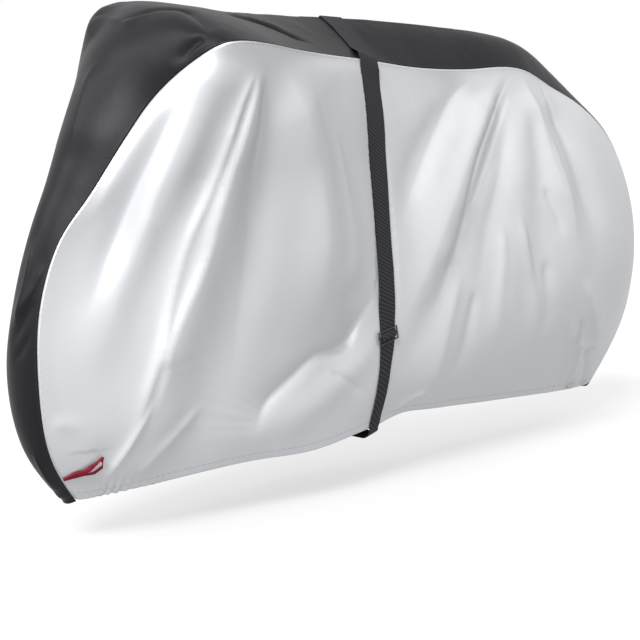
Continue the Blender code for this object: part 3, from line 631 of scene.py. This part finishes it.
def centre_relief(points):
    """Folds of the black panel at points of the part."""
    shift = np.array([MIDDLE_X, 0.0, ORIGIN_Z])
    total = np.zeros(len(points))
    for _, fore, aft, out, *line in CENTRE_FOLDS:
        total += fold(points + shift, line, fore, aft, out, CENTRE_EDGE, turn=(1, 2))
    return total


print(len(SIDE_FOLDS), "side folds,", len(CENTRE_FOLDS), "folds on the black panel")

# %% [markdown]
# ## Gathers and small creases
#
# Elastic in the hem at both ends draws the cloth into short, close gathers.
# Away from folds the cloth isn't flat either: it keeps faint creases, drawn
# here with smooth noise that is longer downwards than across.

# %% Gathers and small creases
GATHER_PITCH = 0.016    # from one gather to the next
GATHER_TALL = 0.034     # how far they run up from the hem
GATHER_OUT = 0.0024     # how far they stand out
UNEVEN, UNEVEN_BEAT = 0.4, 67.0     # heights swing by this share, to 0.2 of the full one
WANDER, WANDER_BEAT = 2.4, 41.0     # radians early or late; both beats in radians a metre
FRONT_END = (0.56, 0.74)            # metres before the middle: no gathers, full gathers
REAR_END = (0.58, 0.78)             # and behind it
CREASE_OUT = 0.0011     # how far a faint crease stands out
BROAD = (11, 5, 4.5)    # noise scales along x, y and z of the broad ones
FINE = (27, 9, 11)      # and of the fine ones
FINE_SLANT = 9          # these slant, by this much along z
FINE_SHARE = 0.45       # and are lower


def gathers(points, rise):
    """Height of the elastic gathers, `rise` metres above the hem."""
    x = points[:, 0] + MIDDLE_X
    ends = ramp(-x, *FRONT_END) + ramp(x, *REAR_END)
    uneven = 1 - UNEVEN + UNEVEN * np.sin(x * UNEVEN_BEAT)
    late = WANDER * np.sin(x * WANDER_BEAT)
    wave = np.sin(x * 2 * math.pi / GATHER_PITCH + late) * uneven
    return GATHER_OUT * ends * wave * np.exp(-(rise / GATHER_TALL)**2)


def small_creases(points, seed):
    """Faint creases, up to about a millimetre. `seed` gives each sheet its own."""
    out = np.empty(len(points))
    for i, (x, y, z) in enumerate(points):
        broad = Vector((x * BROAD[0] + seed, y * BROAD[1], z * BROAD[2]))
        fine = Vector((x * FINE[0] + z * FINE_SLANT, y * FINE[1], z * FINE[2] + seed))
        out[i] = noise.noise(broad) + FINE_SHARE * noise.noise(fine)
    return CREASE_OUT * out


# %% [markdown]
# ## Seams, hems and what lies on the cloth
#
# Two panels have to meet along a seam, so folds fade out there. Under the
# strap and the ribbon the cloth is pressed flat, and never rises into them.
# A cut edge isn't left raw: it is turned in by its thickness and laid back
# against the inside.

# %% Shape a sheet
STRAP_X = -0.080
PRESSED, PRESSED_WIDE = 0.92, 0.046     # share that the strap presses flat, and how wide
BAND_HALF, BAND_RISE = 0.036, 0.0002    # this near its middle, cloth rises this at most
HELD = 0.022            # a seam holds the cloth flat for about this far
SEAM_WIDE = 0.006       # an edge nearer than this to another panel is a seam
PULL_MARGIN = 0.012     # round the ribbon
TURN = 0.0020           # the turned edge, through the cloth
ALLOWANCE = 0.014       # and back along its inside
ALLOWANCE_LIFT = 0.0006 # its end stands this much further in


def distance_to(points, places):
    """Distance from each point to the nearest of some places."""
    tree = kdtree.KDTree(len(places))
    for i, p in enumerate(places):
        tree.insert(p, i)
    tree.balance()
    return np.array([tree.find(p)[2] for p in points])


def shape_sheet(mesh, relief, seams, seed):
    """Folds a sheet along its normals, and keeps each vertex's distances from
    the seams and the hem."""
    points, normals = read_points(mesh), read_normals(mesh)
    rim = points[rim_places(mesh)]
    from_seam = distance_to(points, seams)
    hem = rim[distance_to(rim, seams) > SEAM_WIDE]
    rise = distance_to(points, hem)
    height = relief(points) + small_creases(points, seed) + gathers(points, rise)
    height *= 1 - np.exp(-(from_seam / HELD)**2)
    from_strap = points[:, 0] + MIDDLE_X - STRAP_X
    height *= 1 - PRESSED * np.exp(-(from_strap / PRESSED_WIDE)**2)
    under_band = np.abs(from_strap) < BAND_HALF
    height = np.where(under_band, np.minimum(height, BAND_RISE), height)
    lo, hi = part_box("pull_loop")
    low, high = np.array(lo) - PULL_MARGIN, np.array(hi) + PULL_MARGIN
    under_pull = ((points > low) & (points < high)).all(1)
    height = np.where(under_pull, np.minimum(height, 0.0), height)
    mesh.vertices.foreach_set("co", (points + normals * height[:, None]).ravel())
    mesh.update()
    for name, values in (("from_seam", from_seam), ("from_hem", rise)):
        layer = mesh.attributes.new(name, "FLOAT", "POINT")
        layer.data.foreach_set("value", values.astype(np.float32))
    print("  height", round(height.min() * 1000, 1), "to", round(height.max() * 1000, 1), "mm")


def turn_edges(mesh):
    """Turns a sheet's edge in, and lays it back against the inside."""
    bm = bmesh.new()
    bm.from_mesh(mesh)
    bm.verts.ensure_lookup_table()
    edge = [e for e in bm.edges if e.is_boundary]
    corners = sorted({v for e in edge for v in e.verts}, key=lambda v: v.index)
    places = [v.co.copy() for v in corners]
    into, down = [], []
    for v in corners:
        inside = [e.other_vert(v).co - v.co for e in v.link_edges if not e.is_boundary]
        way = sum(inside, Vector())
        into.append(way.normalized() if way.length else Vector())
        down.append(-v.normal)
    near = kdtree.KDTree(len(places))
    for i, place in enumerate(places):
        near.insert(place, i)
    near.balance()
    made = bmesh.ops.extrude_edge_only(bm, edges=edge)["geom"]
    first = {v: near.find(v.co)[1] for v in made if isinstance(v, bmesh.types.BMVert)}
    for v, k in first.items():
        v.co += down[k] * TURN
    seen = {tuple(round(c, 7) for c in v.co): k for v, k in first.items()}
    rim = [g for g in made if isinstance(g, bmesh.types.BMEdge) and g.is_boundary]
    made = bmesh.ops.extrude_edge_only(bm, edges=rim)["geom"]
    for v in [g for g in made if isinstance(g, bmesh.types.BMVert)]:
        k = seen[tuple(round(c, 7) for c in v.co)]
        v.co += into[k] * ALLOWANCE + down[k] * ALLOWANCE_LIFT
    bm.to_mesh(mesh)
    bm.free()


def show(name, mesh, material, slot, *replaced):
    """Puts a finished mesh in the scene in place of its solid."""
    mesh.materials.clear()
    mesh.materials.append(material)
    for face in mesh.polygons:
        face.use_smooth = True
    piece = bpy.data.objects.new(name, mesh)
    bpy.context.scene.collection.objects.link(piece)
    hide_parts(*replaced)
    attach(piece, "root")
    print(name, len(mesh.polygons), "faces")
    return piece


# %% [markdown]
# ## Sew the three panels
#
# The edge points of the black panel that lie against a silver panel are the
# seams of both.

# %% The three panels
def rim_of(mesh):
    """Places of the vertices on a sheet's edge."""
    return read_points(mesh)[rim_places(mesh)]


def area_of(mesh):
    """Area of a sheet in square metres."""
    return sum(p.area for p in mesh.polygons)


side_rims = np.concatenate([rim_of(near_cloth), rim_of(far_cloth)])
centre_rim = rim_of(centre_cloth)
shape_sheet(near_cloth, lambda p: side_relief(p, NEAR_SHARE), centre_rim, seed=3.1)
shape_sheet(far_cloth, far_relief, centre_rim, seed=17.4)
shape_sheet(centre_cloth, centre_relief, side_rims, seed=29.8)
cloths = (near_cloth, far_cloth, centre_cloth)
print("cloth areas m2", [round(area_of(cloth), 3) for cloth in cloths])
for cloth in cloths:
    turn_edges(cloth)
centre = show("black_centre_panel", centre_cloth, black, "black_cloth", "centre_panel")
near_side = show("silver_side_near", near_cloth, silver, "silver_cloth", "side_panel_near")
far_side = show("silver_side_far", far_cloth, silver, "silver_cloth", "side_panel_far")

# %% [markdown]
# ## Strap
#
# Polypropylene webbing is woven with thick ribs that slant across it. Real
# ribs are much closer; here they are 9 mm apart, the finest that shows.
# Their crests are painted lighter and their grooves darker: painted highlight
# and painted shade.
# Down either side the band runs down and outwards, so height less distance
# from the middle plane tells how far along it a point is.

# %% Ribbed polypropylene webbing
RIB = 0.009             # from one rib to the next
SLANT = 0.45            # metres down for each metre across the band

webbing, tree, shader = new_material("ribbed_polypropylene_webbing")
place = add(tree, "ShaderNodeSeparateXYZ",
            {"Vector": add(tree, "ShaderNodeTexCoord").outputs["Object"]})
aside = add(tree, "ShaderNodeMath", {0: place.outputs["Y"]}, operation="ABSOLUTE")
run = add(tree, "ShaderNodeMath", {0: place.outputs["Z"], 1: aside.outputs[0]},
          operation="SUBTRACT")
slant = add(tree, "ShaderNodeMath", {0: place.outputs["X"], 1: SLANT, 2: run.outputs[0]},
            operation="MULTIPLY_ADD")
# painted light: the ribs' crests take the lighter tone, as painted highlight, and their grooves
# the darker one, as painted shade
ribs_with_painted_light(tree, shader, slant.outputs[0], RIB, "#101012", "#2C2C30", 0.6, 0.0009)
shader.inputs["Roughness"].default_value = 0.78
shader.inputs["IOR"].default_value = 1.30
print("webbing ribbed every", RIB * 1000, "mm")


# %% Copy a small solid and round its edges
COPLANAR = math.radians(1.0)    # faces turned less than this are one
CORNER = math.radians(50)       # an edge sharper than this is rounded


def copy_of(node, round_edges):
    """A merged copy of a node's mesh with its sharp edges rounded."""
    bm = bmesh.new()
    bm.from_mesh(nodes[node].data)
    bmesh.ops.remove_doubles(bm, verts=bm.verts, dist=MERGE)
    bmesh.ops.dissolve_limit(bm, angle_limit=COPLANAR, verts=bm.verts, edges=bm.edges)
    bmesh.ops.bevel(bm, geom=sharp_edges(bm, CORNER), offset=round_edges,
                    offset_type="OFFSET", segments=2, profile=0.5, affect="EDGES",
                    material=-1, clamp_overlap=True)
    mesh = bpy.data.meshes.new(node + "_fine")
    bm.to_mesh(mesh)
    bm.free()
    return mesh


show("webbing_strap", copy_of("strap", round_edges=0.0004), webbing, "webbing", "strap")

# %% [markdown]
# ## Slider and ribbon pull
#
# The slider is moulded from ABS and stays where it was set on the strap. The
# pull is a red satin ribbon, folded into a loop and sewn into the front seam.

# %% Moulded ABS
GRIT = 900.0            # noise scale of the mould's fine texture

plastic, tree, shader = new_material("moulded_black_abs")
place = add(tree, "ShaderNodeTexCoord").outputs["Object"]
raised(tree, shader, [(noise_at(tree, place, GRIT, 1.0), 0.10, 0.0002)])
shader.inputs["Base Color"].default_value = hex_colour("#1E1E20")
shader.inputs["Roughness"].default_value = 0.38
slider_mesh = copy_of("strap_slider", round_edges=0.0006)
show("abs_slider", slider_mesh, plastic, "slider_plastic", "strap_slider")

# %% Satin ribbon
WEAVE_LINE = 0.0022     # from one line of the ribbon's weave to the next

satin, tree, shader = new_material("red_satin_ribbon")
across = add(tree, "ShaderNodeAttribute", attribute_name="across").outputs["Fac"]
# painted light: the raised lines take the lighter red, as painted sheen, and the hollows between
# them the darker red, as painted shade
ribs_with_painted_light(tree, shader, across, WEAVE_LINE, "#3A0210", "#70061F", 0.3, 0.0003)
shader.inputs["Roughness"].default_value = 0.46
shader.inputs["IOR"].default_value = 1.24
print("red satin, with a fine line along it")

# %% [markdown]
# The ribbon is one length, doubled. Sewn flat at the seam, its two strands
# part towards the tip, and the eye between them takes a finger. Each strand
# is a grid between its two edges, with a ridge along the inner one, so the
# upper strand faces the light and the lower one turns from it.

# %% Where the ribbon is sewn, and its edges
PULL_ROOT = stand(-0.838, -0.037, 0.136)
PULL_AIM = Vector((0.070, -0.031, 0.024)).normalized()
CLOTH_OUT = Vector((-0.35, -0.93, 0.05))    # out from the cloth under the ribbon
MM = 0.001
PULL_EDGES = (
    # along, upper edge, top and bottom of the eye, lower edge, all in mm
    (0.0, 5.2, 2.1, 2.1, -1.4), (9.0, 5.9, 2.4, 2.4, -2.6), (17.0, 7.6, 2.3, 2.3, -3.3),
    (25.0, 8.3, 1.6, 1.6, -4.6), (32.5, 7.7, 0.5, 0.5, -5.2), (40.0, 6.4, -1.2, -1.2, -6.2),
    (46.0, 7.2, -2.0, -2.0, -7.4), (52.0, 8.9, -1.4, -2.5, -8.8), (58.0, 10.7, 1.0, -2.5, -10.0),
    (64.0, 12.0, 4.4, -1.1, -8.2), (70.0, 13.8, 7.9, 1.2, -5.8), (75.0, 16.0, 10.9, 2.9, -4.1),
    (76.6, 16.8, 10.0, 4.4, -3.0), (77.6, 17.3, 7.2, 7.0, -0.4), (79.6, 18.3, 11.0, 11.0, 6.0),
    (82.6, 18.8, 14.2, 14.2, 11.6), (84.4, 16.4, 15.1, 15.1, 14.0),
)

out = (CLOTH_OUT - PULL_AIM * CLOTH_OUT.dot(PULL_AIM)).normalized()
side = PULL_AIM.cross(out).normalized()
side = side if side.z > 0 else -side
# the solid's sewn end tells how far out the ribbon's plane lies
solid = [v.co - PULL_ROOT for v in nodes["pull_loop"].data.vertices]
level = min(p.dot(out) for p in solid if p.dot(PULL_AIM) < 0.002)
print("the ribbon lies", round(level * 1000, 1), "mm out from its root")

# %% The doubled ribbon
LENGTHS, ACROSS = 80, 8     # steps along a strand, and across it
RIDGE = 0.0022              # how far the inner edge of a strand stands out
RIDGE_EDGE = 1.4            # 1 is a straight slope down from it, more is steeper
CROWN = 0.0009              # how far its middle does
TIP_LIFT = 0.0115           # how far the tip bends away
RIPPLE, RIPPLE_PITCH = 0.0002, 0.024    # faint waves along it
RIBBON_THICK = 0.0006
WELD = 0.00005              # the two strands' shared points are this near


def strand(bm, rows, outer, inner):
    """One strand of the ribbon, between two columns of its edges."""
    layer = bm.verts.layers.float["across"]
    grid = []
    for row in rows:
        along = row[0]
        lift = level + TIP_LIFT * (along / rows[-1, 0])**2
        line = []
        for k in range(ACROSS + 1):
            t = k / ACROSS
            off = row[inner] + (row[outer] - row[inner]) * t
            rise = RIDGE * (1 - t)**RIDGE_EDGE + CROWN * math.sin(math.pi * t)
            rise += RIPPLE * math.sin(along * 2 * math.pi / RIPPLE_PITCH + 3 * t + outer)
            v = bm.verts.new(PULL_ROOT + PULL_AIM * along + side * off + out * (lift + rise))
            v[layer] = off
            line.append(v)
        grid.append(line)
    for a, b in zip(grid, grid[1:]):
        for k in range(ACROSS):
            bm.faces.new((a[k], a[k + 1], b[k + 1], b[k]))


table = np.array(PULL_EDGES) * MM
steps = np.linspace(0, len(table) - 1, LENGTHS + 1)
rows = np.array([np.interp(steps, range(len(table)), column) for column in table.T]).T
bm = bmesh.new()
bm.verts.layers.float.new("across")
strand(bm, rows, outer=1, inner=2)
strand(bm, rows, outer=4, inner=3)
bmesh.ops.remove_doubles(bm, verts=bm.verts, dist=WELD)
bmesh.ops.recalc_face_normals(bm, faces=bm.faces)
if sum((f.normal.dot(out) for f in bm.faces), 0.0) < 0:
    bmesh.ops.reverse_faces(bm, faces=bm.faces)
loop = bpy.data.meshes.new("pull_loop_fine")
bm.to_mesh(loop)
bm.free()
pull = show("red_ribbon_pull", loop, satin, "red_ribbon", "pull_loop")
cloth_thickness = pull.modifiers.new("thickness", "SOLIDIFY")
cloth_thickness.thickness, cloth_thickness.offset = RIBBON_THICK, -1.0
